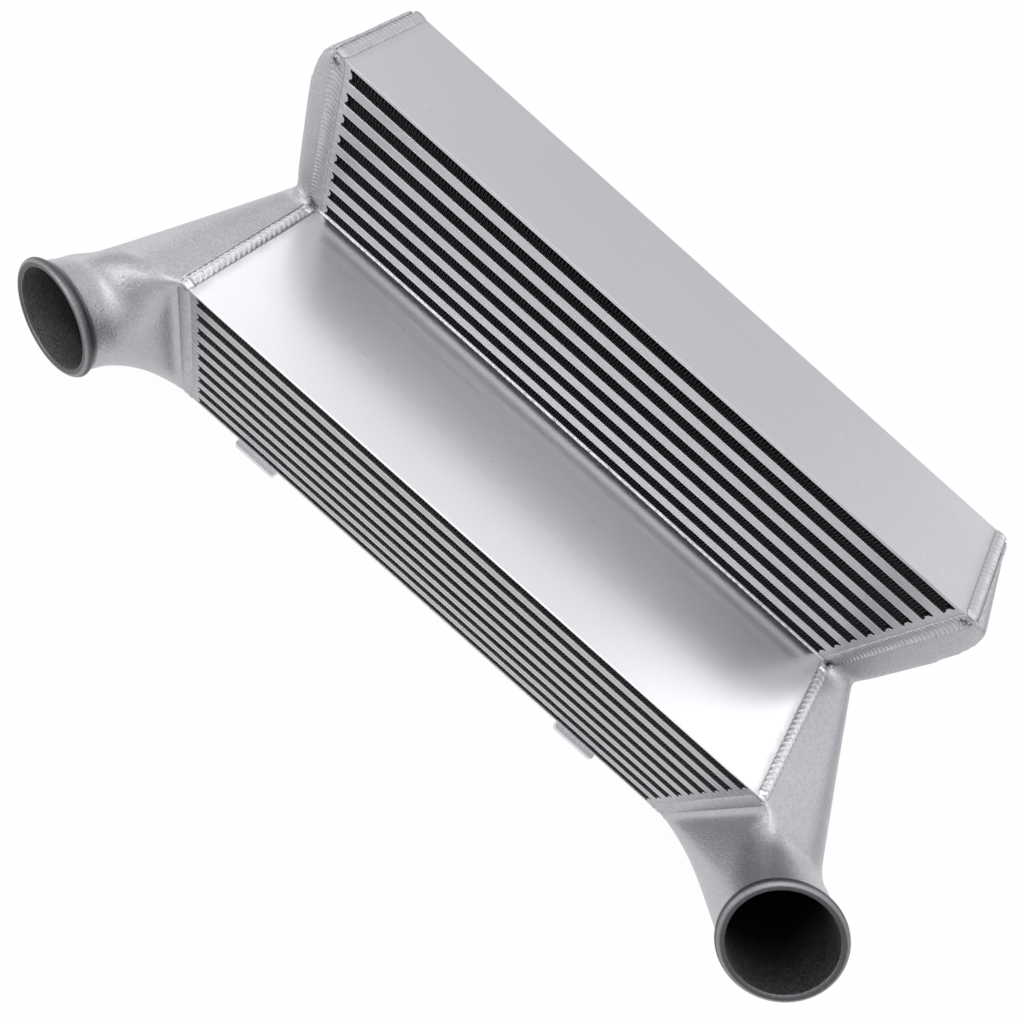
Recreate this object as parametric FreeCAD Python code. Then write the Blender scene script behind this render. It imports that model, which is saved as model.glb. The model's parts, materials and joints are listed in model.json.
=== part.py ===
import FreeCAD, Part
import math
import os
from dataclasses import dataclass

# Stepped bar-and-plate charge-air cooler with two cast end tanks.
# X runs along the core, left tank to right tank.
# Y runs from the front, where both outlets open, to the flat rear face.
# Z is up. The origin is the centre of the bottom plate's underside.

V = FreeCAD.Vector
os.makedirs("parts", exist_ok=True)

# Core block, between the two tank joints
CORE_LENGTH = 520.0
UPPER_DEPTH = 80.0
STEP_DEPTH = 124.0
UPPER_ROWS = 8
LOWER_ROWS = 9

# Stack of passages
FIN_HEIGHT = 9.0
BAR_HEIGHT = 6.25
SHEET_THICKNESS = 0.5
TOP_PLATE_THICKNESS = 2.5
UPPER_BASE_THICKNESS = 1.25
STEP_PLATE_THICKNESS = 2.0
BOTTOM_PLATE_THICKNESS = 2.0

# Bars that close the passages
END_BAR_WIDTH = 10.0
NOSE_LENGTH = 1.7
NOSE_TIP = 2.4
NOSE_ROOT = 5.4
LONG_BAR_WIDTH = 7.0

# Corrugated sheet in the passages
FIN_LEG_COUNT = 54
FIN_METAL = 0.6
FIN_END_GAP = 1.0
FIN_SETBACK = 1.2
TURBULATOR_METAL = 0.6
TURBULATOR_PITCH = 11.0
TURBULATOR_SETBACK = 3.0
FEWEST_LEGS = 2

# Cast end tanks, both sides
WALL = 4.0
RIM_ROUND = 1.0
REAR_ROUND = 6.0
SHOULDER_DROP = 50.0
ROOT_OUT = 8.0
ROOT_FORWARD = 4.0
ROOT_ROUND = 3.0
NECK_RISE = 60.0
NECK_STEPS = 4
RAIL_PULL = 0.35
FULLNESS = 0.9
FLAT_ANGLE = 24.0
SEW_GAP = 0.01

# Outlet pipes
BORE_RADIUS = 35.0
PIPE_WALL = 3.0
PIPE_LENGTH = 22.0
LIP_HEIGHT = 3.0
LIP_WIDTH = 6.0
BORE_DEPTH = 23.0
BORE_STEP = 0.5

# Right tank: mouth outward of the joint, forward of the lower front face and
# up from the underside, the way that it opens, then how far the walls swell
RIGHT_OUT = 47.0
RIGHT_FORWARD = 70.0
RIGHT_UP = 152.5
RIGHT_TILT = 50.0
RIGHT_SPLAY = 0.0
RIGHT_TOP_DIP = 0.0
RIGHT_BODY_SWELL = 77.0
RIGHT_BODY_ROUND = 38.0
RIGHT_POCKET_SWELL = 26.5
RIGHT_POCKET_EDGE = 10.0

# Left tank, in the same terms
LEFT_OUT = 59.0
LEFT_FORWARD = 62.0
LEFT_UP = 92.0
LEFT_TILT = 15.5
LEFT_SPLAY = 9.5
LEFT_TOP_DIP = 20.0
LEFT_BODY_SWELL = 78.0
LEFT_BODY_ROUND = 62.0
LEFT_POCKET_SWELL = 21.5
LEFT_POCKET_EDGE = 5.5

# Rear ends of both tanks
BODY_REAR_SWELL = 17.0
BODY_REAR_ROUND = 10.0
BODY_DROP = 36.0
POCKET_REAR_SWELL = 15.0
POCKET_REAR_EDGE = 4.8

# Weld beads round the joints
WELD_HALF_WIDTH = 4.5
WELD_RISE = 1.3
FACE_WELD_REACH = 1.0
FACE_WELD_RISE = 0.8

# Mounting tabs under the front edge
TAB_LENGTH = 42.0
TAB_DEPTH = 30.0
TAB_THICKNESS = 5.0
TAB_OVERHANG = 5.0
TAB_HOLE_RADIUS = 3.0
TAB_CORNER = 3.0
LEFT_TAB_INSET = 76.0
RIGHT_TAB_INSET = 88.0

# Levels and planes that the sizes above give
HALF = CORE_LENGTH / 2
LOWER_DEPTH = UPPER_DEPTH + STEP_DEPTH
REAR = LOWER_DEPTH / 2
LOWER_FRONT = -LOWER_DEPTH / 2
UPPER_FRONT = REAR - UPPER_DEPTH
CHARGE_HEIGHT = BAR_HEIGHT + 2 * SHEET_THICKNESS
PITCH = FIN_HEIGHT + CHARGE_HEIGHT
LOWER_BASE = BOTTOM_PLATE_THICKNESS
LOWER_TOP = LOWER_BASE + LOWER_ROWS * FIN_HEIGHT + (LOWER_ROWS - 1) * CHARGE_HEIGHT
STEP_TOP = LOWER_TOP + STEP_PLATE_THICKNESS
UPPER_BASE = STEP_TOP + UPPER_BASE_THICKNESS
UPPER_TOP = UPPER_BASE + UPPER_ROWS * FIN_HEIGHT + (UPPER_ROWS - 1) * CHARGE_HEIGHT
TOP = UPPER_TOP + TOP_PLATE_THICKNESS
PIPE_RADIUS = BORE_RADIUS + PIPE_WALL
ROOT_LIFT = ROOT_FORWARD * math.tan(math.radians(NECK_RISE))
QUARTER_PULL = 4 / 3 * math.tan(math.pi / 8)


def save(name, *solids):
    """Write one node, of one solid or of a group of separate solids."""
    shape = solids[0] if len(solids) == 1 else Part.makeCompound(list(solids))
    for solid in shape.Solids:
        if not solid.isValid():
            print("invalid solid in", name)
    shape.exportStep("parts/" + name + ".step")
    print(name, len(shape.Solids), round(shape.Volume / 1000, 1), "cm3")


def block(x0, x1, y0, y1, z0, z1):
    """Box between two corners."""
    return Part.makeBox(x1 - x0, y1 - y0, z1 - z0, V(x0, y0, z0))


def prism(points, direction):
    """Straight bar whose end face is the closed outline of points."""
    return Part.Face(Part.makePolygon(points + points[:1])).extrude(direction)


# Plates and parting sheets

def plate(front, base, thickness):
    """Full-length plate from its front edge to the rear face."""
    return block(-HALF, HALF, front, REAR, base, base + thickness)


def row_bases(base, rows):
    """Height of the underside of each open fin row in a stack."""
    return [base + index * PITCH for index in range(rows)]


def passage_bases(base, rows):
    """Height of the lower sheet of each closed passage between two rows."""
    return [level + FIN_HEIGHT for level in row_bases(base, rows)[:-1]]


def parting_sheets(front, base, rows):
    """Two thin sheets to each closed passage."""
    sheets = []
    for level in passage_bases(base, rows):
        sheets.append(plate(front, level, SHEET_THICKNESS))
        upper = level + SHEET_THICKNESS + BAR_HEIGHT
        sheets.append(plate(front, upper, SHEET_THICKNESS))
    return sheets


# Bars

def long_bars(edge, base, rows):
    """Bars along the core that close the charge passages at one face."""
    return [block(-HALF, HALF, edge, edge + LONG_BAR_WIDTH,
                  level + SHEET_THICKNESS, level + SHEET_THICKNESS + BAR_HEIGHT)
            for level in passage_bases(base, rows)]


def end_bars(side, front, base, rows):
    """Bars that close the fin rows at one end, each with a nose along it."""
    flank = HALF - END_BAR_WIDTH
    tip = flank - NOSE_LENGTH
    middle = FIN_HEIGHT / 2
    outline = [(HALF, 0), (HALF, FIN_HEIGHT), (flank, FIN_HEIGHT),
               (flank, middle + NOSE_ROOT / 2), (tip, middle + NOSE_TIP / 2),
               (tip, middle - NOSE_TIP / 2), (flank, middle - NOSE_ROOT / 2),
               (flank, 0)]
    bars = []
    for level in row_bases(base, rows):
        points = [V(side * x, front, level + z) for x, z in outline]
        bars.append(prism(points, V(0, REAR - front, 0)))
    return bars


# Corrugated sheets

def zigzag(start, pitch, legs, low, high, metal):
    """Outline of a corrugated strip, as pairs along the strip and across it."""
    centres = []
    for index in range(legs + 1):
        level = high - metal / 2 if index % 2 else low + metal / 2
        centres.append((start + index * pitch, level))
    over = [(along, across + metal / 2) for along, across in centres]
    under = [(along, across - metal / 2) for along, across in reversed(centres)]
    return over + under


def ambient_fin(front, level):
    """Corrugated strip of one open row, seen from the front as a zigzag."""
    reach = HALF - END_BAR_WIDTH - NOSE_LENGTH - FIN_END_GAP
    pitch = 2 * reach / FIN_LEG_COUNT
    outline = zigzag(-reach, pitch, FIN_LEG_COUNT, level, level + FIN_HEIGHT, FIN_METAL)
    points = [V(x, front + FIN_SETBACK, z) for x, z in outline]
    return prism(points, V(0, REAR - front - 2 * FIN_SETBACK, 0))


def turbulators(front, base, rows):
    """Corrugated strips in the closed passages, with their flow along X."""
    inner = front + LONG_BAR_WIDTH + FIN_END_GAP
    width = REAR - LONG_BAR_WIDTH - FIN_END_GAP - inner
    legs = max(FEWEST_LEGS, round(width / TURBULATOR_PITCH))
    reach = HALF - TURBULATOR_SETBACK
    strips = []
    for level in passage_bases(base, rows):
        floor = level + SHEET_THICKNESS
        outline = zigzag(inner, width / legs, legs, floor, floor + BAR_HEIGHT,
                         TURBULATOR_METAL)
        points = [V(-reach, y, z) for y, z in outline]
        strips.append(prism(points, V(2 * reach, 0, 0)))
    return strips


# Cast end tanks, drawn for the right side and mirrored for the left

@dataclass(frozen=True)
class TankShape:
    """Sizes in which the two tanks differ."""

    out: float
    forward: float
    up: float
    tilt: float
    splay: float
    top_dip: float
    body_swell: float
    body_round: float
    pocket_swell: float
    pocket_edge: float

    def mouth(self):
        """Centre of the outlet's open end."""
        return V(HALF + self.out, LOWER_FRONT - self.forward, self.up)

    def direction(self):
        """Unit vector that the outlet opens along."""
        rise = math.radians(self.tilt)
        turn = math.radians(self.splay)
        return V(math.cos(rise) * math.sin(turn), -math.cos(rise) * math.cos(turn),
                 math.sin(rise))

    def flare(self):
        """How fast the body widens towards the front."""
        return (self.body_swell - BODY_REAR_SWELL) / LOWER_DEPTH

    def root_swell(self):
        """Width of the body where the neck begins."""
        return self.body_swell + self.flare() * ROOT_FORWARD


def blend(start, end, share):
    """Value a share of the way from start to end."""
    return start + (end - start) * share


def span(*poles):
    """Smooth edge with the given control points."""
    curve = Part.BezierCurve()
    curve.setPoles(list(poles))
    return curve.toShape()


def straight(start, end):
    """Straight edge that lofts well against curved ones."""
    return span(start, blend(start, end, 1 / 3), blend(start, end, 2 / 3), end)


def quarter(start, corner, end):
    """Round corner, a quarter of an ellipse, between two straight sides."""
    return span(start, blend(start, corner, QUARTER_PULL),
                blend(end, corner, QUARTER_PULL), end)


def rounded_section(centre, outward, upward, across, height, rounds):
    """Closed outline of four straight sides and four round corners.

    across and height are its limits from centre. rounds holds the reach of
    each corner across and up: low outer, high outer, high inner, low inner.
    """
    (u0, u1), (v0, v1) = across, height
    corners = []
    for (u, v), (reach, rise), (to_u, to_v) in zip(
            ((u1, v0), (u1, v1), (u0, v1), (u0, v0)), rounds,
            ((-1, 1), (-1, -1), (1, -1), (1, 1))):
        corner = centre + outward * u + upward * v
        level = corner + outward * (to_u * reach)
        plumb = corner + upward * (to_v * rise)
        corners.append((level, corner, plumb) if to_u * to_v < 0 else (plumb, corner, level))
    edges = []
    for index, points in enumerate(corners):
        edges.append(straight(corners[index - 1][2], points[0]))
        edges.append(quarter(*points))
    return Part.Wire(edges)


def frame_at(direction):
    """Outward and upward axes of a section that faces along direction."""
    outward = V(1, 0, 0) - direction * direction.x
    outward.normalize()
    return outward, direction.cross(outward)


def round_section(centre, direction, radius):
    """Circle cut into eight arcs, to match the sides of rounded_section."""
    outward, upward = frame_at(direction)
    edges = []
    for side in range(4):
        angle = side * 90 - 90 - FLAT_ANGLE / 2
        for start, end in ((angle, angle + FLAT_ANGLE), (angle + FLAT_ANGLE, angle + 90)):
            pull = 4 / 3 * math.tan(math.radians(end - start) / 4)
            (c0, s0), (c1, s1) = [(math.cos(math.radians(a)), math.sin(math.radians(a)))
                                  for a in (start, end)]
            places = ((c0, s0), (c0 - pull * s0, s0 + pull * c0),
                      (c1 + pull * s1, s1 - pull * c1), (c1, s1))
            edges.append(span(*[centre + outward * (radius * c) + upward * (radius * s)
                                for c, s in places]))
    return Part.Wire(edges)


def body_sections(shape, inset):
    """Outlines of the wedge beside the lower core, rear to front to neck root.

    An inset of one wall gives the hollow inside it.
    """
    rim = (RIM_ROUND, RIM_ROUND)
    root = (ROOT_ROUND, ROOT_ROUND)
    rows = ((REAR - inset, 0, BODY_REAR_SWELL, 0, BODY_REAR_ROUND, rim),
            (LOWER_FRONT + inset, 0, shape.body_swell, 0, shape.body_round, rim),
            (LOWER_FRONT - ROOT_FORWARD, ROOT_OUT, shape.root_swell(), ROOT_LIFT,
             shape.body_round, root))
    sections = []
    for y, side, swell, floor, rounding, inner in rows:
        drop = max(rounding, BODY_DROP) - inset
        outer = (rounding - inset, drop)
        sections.append(rounded_section(
            V(HALF, y, 0), V(1, 0, 0), V(0, 0, 1), (side + inset, swell - inset),
            (floor + inset, STEP_TOP - inset), (outer, outer, inner, inner)))
    return sections


def rail(start, end, leave, arrive, share):
    """Point on the smooth curve that leaves start and arrives at end."""
    pull = (end - start).Length * RAIL_PULL
    points = (start, start + leave * pull, end - arrive * pull, end)
    weights = ((1 - share) ** 3, 3 * share * (1 - share) ** 2,
               3 * share ** 2 * (1 - share), share ** 3)
    place = V()
    for point, weight in zip(points, weights):
        place += point * weight
    return place


def forward_at(tilt):
    """Unit vector that points forward and up by an angle."""
    return V(0, -math.cos(math.radians(tilt)), math.sin(math.radians(tilt)))


def neck_sections(shape, inset):
    """Outlines along the neck, between an upper and a lower rail."""
    direction = shape.direction()
    outward, upward = frame_at(direction)
    end = shape.mouth() - direction * PIPE_LENGTH
    middle = (ROOT_OUT + shape.root_swell()) / 2
    reach = (shape.root_swell() - ROOT_OUT) / 2 - inset
    radius = BORE_RADIUS - BORE_STEP if inset else PIPE_RADIUS
    start = V(HALF + middle, LOWER_FRONT - ROOT_FORWARD, inset)
    low_start = start + V(0, 0, ROOT_LIFT)
    high_start = start + V(0, 0, STEP_TOP - 2 * inset)
    sections = []
    for index in range(1, NECK_STEPS):
        share = index / NECK_STEPS
        low = rail(low_start, end - upward * radius, forward_at(NECK_RISE), direction, share)
        high = rail(high_start, end + upward * radius, forward_at(-shape.top_dip),
                    direction, share)
        up = (high - low).normalize()
        out = V(1, 0, 0) * (1 - share) + outward * share
        out = (out - up * out.dot(up)).normalize()
        narrow = share ** 2 * (3 - 2 * share)
        half = (high - low).Length / 2
        lead = shape.flare() * (end.y - start.y) * share * (1 - share) ** 2
        full = radius * FULLNESS
        outer = blend(shape.body_round - inset, full, narrow)
        tall = blend(max(shape.body_round, BODY_DROP) - inset, full, narrow)
        inner = blend(ROOT_ROUND, full, share * (2 - share))
        sections.append(rounded_section(
            (low + high) / 2, out, up,
            (blend(-reach, -radius, narrow), blend(reach, radius, narrow) - lead),
            (-half, half), ((outer, tall), (outer, tall), (inner, inner), (inner, inner))))
    sections.append(round_section(end, direction, radius))
    return sections


def tank_duct(shape, inset):
    """Body and neck as one closed skin, with the pipe on the outside."""
    body = body_sections(shape, inset)
    neck = neck_sections(shape, inset)
    faces = Part.makeLoft(body, False, True).Faces
    faces += Part.makeLoft([body[-1]] + neck, False, False).Faces
    end = neck[-1]
    if not inset:
        direction = shape.direction()
        end = round_section(shape.mouth() - direction * (LIP_WIDTH / 2), direction,
                            PIPE_RADIUS)
        faces += Part.makeLoft([neck[-1], end], False, True).Faces
    faces += [Part.Face(body[0]), Part.Face(end)]
    skin = Part.makeCompound(faces)
    skin.sewShape(SEW_GAP)
    duct = Part.Solid(skin.Shells[0])
    if duct.Volume < 0:
        duct.reverse()
    return duct


def tank_pocket(shape, inset):
    """Shallow wedge beside the upper core, with an elliptic shoulder."""
    side = HALF - inset
    base = STEP_TOP / 2
    top = TOP - inset
    sections = []
    for y, swell, edge in ((UPPER_FRONT + inset, shape.pocket_swell, shape.pocket_edge),
                           (REAR - inset, POCKET_REAR_SWELL, POCKET_REAR_EDGE)):
        outer = HALF + swell - inset
        bend = HALF + edge
        points = [V(bend, y, top), V(side, y, top), V(side, y, base), V(outer, y, base),
                  V(outer, y, top - SHOULDER_DROP + inset)]
        edges = [straight(p, q) for p, q in zip(points, points[1:])]
        edges.append(quarter(points[-1], V(outer, y, top), points[0]))
        sections.append(Part.Wire(edges))
    return Part.makeLoft(sections, True, True)


def outlet_lip(shape):
    """Rolled ring round the pipe's mouth, which holds a hose on."""
    inner = BORE_RADIUS - PIPE_WALL / 4
    foot = PIPE_RADIUS - PIPE_WALL / 4
    outer = PIPE_RADIUS + LIP_HEIGHT
    points = [V(inner, 0, 0), V(foot, 0, 0), V(outer, 0, -LIP_WIDTH / 2),
              V(foot, 0, -LIP_WIDTH), V(inner, 0, -LIP_WIDTH)]
    edges = [Part.LineSegment(p, q).toShape()
             for p, q in ((points[0], points[1]), (points[3], points[4]),
                          (points[4], points[0]))]
    rim = V(outer, 0, 0)
    edges += [quarter(points[1], rim, points[2]),
              quarter(points[2], rim - V(0, 0, LIP_WIDTH), points[3])]
    lip = Part.Face(Part.Wire(Part.sortEdges(edges)[0])).revolve(V(0, 0, 0), V(0, 0, 1), 360)
    lip.Placement = FreeCAD.Placement(
        shape.mouth(), FreeCAD.Rotation(V(0, 0, 1), shape.direction()))
    return lip


def outlet_bore(shape):
    """Round bore turned in the mouth, a little wider than the cored neck."""
    direction = shape.direction()
    return Part.makeCylinder(BORE_RADIUS, BORE_DEPTH + LIP_WIDTH,
                             shape.mouth() - direction * BORE_DEPTH, direction)


def rear_corner(front, front_swell, rear_swell, low, high):
    """What is cut away where an outer wall turns into the rear face."""
    slope = math.atan((front_swell - rear_swell) / (REAR - front))
    across = V(math.cos(slope), math.sin(slope), 0)
    edge = V(HALF + rear_swell, REAR, low)
    centre = edge + V(REAR_ROUND * (math.tan(slope) - 1 / math.cos(slope)), -REAR_ROUND, 0)
    wall_side = centre + across * REAR_ROUND
    rear_side = centre + V(0, REAR_ROUND, 0)
    points = [centre, wall_side, wall_side + across * REAR_ROUND,
              edge + V(REAR_ROUND, REAR_ROUND, 0), rear_side + V(0, REAR_ROUND, 0),
              rear_side]
    corner = prism(points, V(0, 0, high - low))
    return corner.cut(Part.makeCylinder(REAR_ROUND, high - low, centre))


def end_tank(shape):
    """Hollow casting for the right side, open towards the core."""
    body = tank_duct(shape, 0).cut(rear_corner(
        LOWER_FRONT, shape.body_swell, BODY_REAR_SWELL, -WALL, STEP_TOP + WALL))
    pocket = tank_pocket(shape, 0).cut(rear_corner(
        UPPER_FRONT, shape.pocket_swell, POCKET_REAR_SWELL, 0, TOP + WALL))
    window = block(HALF - WALL, HALF + 2 * WALL, LOWER_FRONT + WALL, REAR - WALL,
                   WALL, STEP_TOP - WALL)
    tank = body.fuse([pocket, outlet_lip(shape)])
    for hollow in (tank_duct(shape, WALL), tank_pocket(shape, WALL), window,
                   outlet_bore(shape)):
        tank = tank.cut(hollow)
    return tank.removeSplitter()


# Welds

def joint_bead():
    """Bead along the right joint, round all but the lower front face."""
    corners = [(LOWER_FRONT, 0), (REAR, 0), (REAR, TOP), (UPPER_FRONT, TOP),
               (UPPER_FRONT, STEP_TOP), (LOWER_FRONT, STEP_TOP)]
    path = Part.makePolygon([V(HALF, y, z) for y, z in corners])
    ends = [V(HALF - WELD_HALF_WIDTH, LOWER_FRONT, 0),
            V(HALF + WELD_HALF_WIDTH, LOWER_FRONT, 0)]
    crown = V(HALF, LOWER_FRONT, -WELD_RISE)
    section = Part.Wire([Part.Arc(ends[0], crown, ends[1]).toShape(),
                         Part.LineSegment(ends[1], ends[0]).toShape()])
    return path.makePipeShell([section], True, False, 1)


def face_weld():
    """Fillet weld between the lower front face and the root of the neck.

    It stops one wall short of the corners, where the joint bead passes.
    """
    root = V(HALF + ROOT_OUT, LOWER_FRONT - ROOT_FORWARD, 0)
    start = V(HALF - WELD_HALF_WIDTH, LOWER_FRONT, 0)
    toe = root + V(0, -FACE_WELD_REACH, 0)
    crown = (start + toe) / 2 + V(0, -FACE_WELD_RISE, 0)
    section = Part.Wire([Part.LineSegment(start, V(HALF, LOWER_FRONT, 0)).toShape(),
                         Part.LineSegment(V(HALF, LOWER_FRONT, 0), root).toShape(),
                         Part.LineSegment(root, toe).toShape(),
                         Part.Arc(toe, crown, start).toShape()])
    section.translate(V(0, 0, WALL))
    return Part.Face(section).extrude(V(0, 0, STEP_TOP - 2 * WALL))


def mirrored(shape):
    """The same piece on the left side."""
    return shape.mirror(V(0, 0, 0), V(1, 0, 0))


# Tabs

def mounting_tab(middle):
    """Flat tab under the front edge, with a hole near its front."""
    front = LOWER_FRONT - TAB_OVERHANG
    tab = block(middle - TAB_LENGTH / 2, middle + TAB_LENGTH / 2, front,
                front + TAB_DEPTH, -TAB_THICKNESS, 0)
    upright = [edge for edge in tab.Edges if edge.BoundBox.ZLength > TAB_THICKNESS / 2]
    tab = tab.makeFillet(TAB_CORNER, upright)
    hole = Part.makeCylinder(TAB_HOLE_RADIUS, TAB_THICKNESS,
                             V(middle, front + TAB_DEPTH / 2, -TAB_THICKNESS))
    return tab.cut(hole)


# Build every piece

save("top_plate", plate(UPPER_FRONT, UPPER_TOP, TOP_PLATE_THICKNESS))
save("upper_base_plate", plate(UPPER_FRONT, STEP_TOP, UPPER_BASE_THICKNESS))
save("step_plate", plate(LOWER_FRONT, LOWER_TOP, STEP_PLATE_THICKNESS))
save("bottom_plate", plate(LOWER_FRONT, 0, BOTTOM_PLATE_THICKNESS))

for stack, face, start, rows in (("upper", UPPER_FRONT, UPPER_BASE, UPPER_ROWS),
                                 ("lower", LOWER_FRONT, LOWER_BASE, LOWER_ROWS)):
    save(stack + "_parting_sheets", *parting_sheets(face, start, rows))
    save(stack + "_front_bars", *long_bars(face, start, rows))
    save(stack + "_rear_bars", *long_bars(REAR - LONG_BAR_WIDTH, start, rows))
    save(stack + "_left_end_bars", *end_bars(-1, face, start, rows))
    save(stack + "_right_end_bars", *end_bars(1, face, start, rows))
    save(stack + "_turbulators", *turbulators(face, start, rows))
    for number, level in enumerate(reversed(row_bases(start, rows)), 1):
        save(stack + "_air_fin_" + str(number), ambient_fin(face, level))

right_shape = TankShape(RIGHT_OUT, RIGHT_FORWARD, RIGHT_UP, RIGHT_TILT, RIGHT_SPLAY,
                        RIGHT_TOP_DIP, RIGHT_BODY_SWELL, RIGHT_BODY_ROUND,
                        RIGHT_POCKET_SWELL, RIGHT_POCKET_EDGE)
left_shape = TankShape(LEFT_OUT, LEFT_FORWARD, LEFT_UP, LEFT_TILT, LEFT_SPLAY,
                       LEFT_TOP_DIP, LEFT_BODY_SWELL, LEFT_BODY_ROUND,
                       LEFT_POCKET_SWELL, LEFT_POCKET_EDGE)
save("right_end_tank", end_tank(right_shape))
save("left_end_tank", mirrored(end_tank(left_shape)))

right_weld = [joint_bead(), face_weld()]
save("right_tank_weld", *right_weld)
save("left_tank_weld", *[mirrored(bead) for bead in right_weld])
save("left_mounting_tab", mounting_tab(LEFT_TAB_INSET - HALF))
save("right_mounting_tab", mounting_tab(HALF - RIGHT_TAB_INSET))
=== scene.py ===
import json
import logging
import math
from contextlib import contextmanager
from dataclasses import asdict, dataclass, field
from enum import Enum
from functools import reduce
from typing import Any, Callable, Iterable, Iterator, Sequence

import bmesh
import bpy
import numpy as np
from mathutils import Matrix, Vector
from mathutils.bvhtree import BVHTree


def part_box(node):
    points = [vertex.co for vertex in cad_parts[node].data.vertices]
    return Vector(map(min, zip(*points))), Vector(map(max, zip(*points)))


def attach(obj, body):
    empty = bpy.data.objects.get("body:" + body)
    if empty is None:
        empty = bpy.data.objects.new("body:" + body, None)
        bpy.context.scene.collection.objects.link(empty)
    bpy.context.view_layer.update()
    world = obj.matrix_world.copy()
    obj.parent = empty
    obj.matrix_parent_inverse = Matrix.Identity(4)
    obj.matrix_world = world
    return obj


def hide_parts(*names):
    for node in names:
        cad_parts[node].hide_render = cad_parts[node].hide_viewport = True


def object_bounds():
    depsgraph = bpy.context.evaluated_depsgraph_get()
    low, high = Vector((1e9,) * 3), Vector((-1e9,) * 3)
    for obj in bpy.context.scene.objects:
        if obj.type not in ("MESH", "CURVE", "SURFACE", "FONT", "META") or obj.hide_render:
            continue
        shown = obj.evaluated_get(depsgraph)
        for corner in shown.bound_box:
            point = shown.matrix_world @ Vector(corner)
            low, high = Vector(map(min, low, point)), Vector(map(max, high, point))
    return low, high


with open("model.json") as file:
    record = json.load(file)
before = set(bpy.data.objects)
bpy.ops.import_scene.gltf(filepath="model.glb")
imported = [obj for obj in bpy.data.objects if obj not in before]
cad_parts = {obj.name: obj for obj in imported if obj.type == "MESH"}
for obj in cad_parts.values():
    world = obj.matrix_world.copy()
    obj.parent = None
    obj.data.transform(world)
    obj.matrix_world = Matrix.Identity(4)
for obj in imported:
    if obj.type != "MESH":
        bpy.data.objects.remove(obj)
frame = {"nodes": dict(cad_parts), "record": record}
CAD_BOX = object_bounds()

# Stepped bar-and-plate intercooler with two cast end tanks.
# Lengths in the classes are millimetres; meshes are metres.

MM = 0.001
BORE_RUN = 23.0
BODY = "root"
LOG = logging.getLogger("intercooler")

Point = tuple[float, float, float]
Colour = tuple[float, float, float]
Socket = bpy.types.NodeSocket
Node = bpy.types.Node


class Side(Enum):
    """End of the core that a piece belongs to."""

    LEFT = -1
    RIGHT = 1

    @property
    def word(self) -> str:
        """Side as it stands in node names."""
        return self.name.lower()


class Stack(Enum):
    """Block of fin rows that a piece belongs to."""

    UPPER = "upper"
    LOWER = "lower"


@dataclass(frozen=True)
class CoreOutline:
    """Stepped outline of the core, as its nodes' boxes give it."""

    half: float
    front: float
    rear: float
    step_front: float
    step_top: float
    top: float

    @classmethod
    def from_frame(cls) -> "CoreOutline":
        """Measure the plates of the loaded frame."""
        top = [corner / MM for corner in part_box("top_plate")]
        step = [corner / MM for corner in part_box("step_plate")]
        return cls(half=step[1].x, front=step[0].y, rear=step[1].y,
                   step_front=top[0].y, step_top=step[1].z, top=top[1].z)


# Node trees

class Value:
    """Socket of a node tree that the usual signs combine."""

    def __init__(self, graph: "Graph", socket: Socket) -> None:
        """Keep the socket and the tree that it belongs to."""
        self.graph, self.socket = graph, socket

    def __add__(self, other: Any) -> "Value":
        """Sum."""
        return self.graph.math("ADD", self, other)

    def __sub__(self, other: Any) -> "Value":
        """Difference."""
        return self.graph.math("SUBTRACT", self, other)

    def __rsub__(self, other: Any) -> "Value":
        """Difference from a constant."""
        return self.graph.math("SUBTRACT", other, self)

    def __mul__(self, other: Any) -> "Value":
        """Product."""
        return self.graph.math("MULTIPLY", self, other)

    def __truediv__(self, other: Any) -> "Value":
        """Quotient."""
        return self.graph.math("DIVIDE", self, other)

    def __abs__(self) -> "Value":
        """Size without its sign."""
        return self.graph.math("ABSOLUTE", self)


Values = dict[str, Value]


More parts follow.
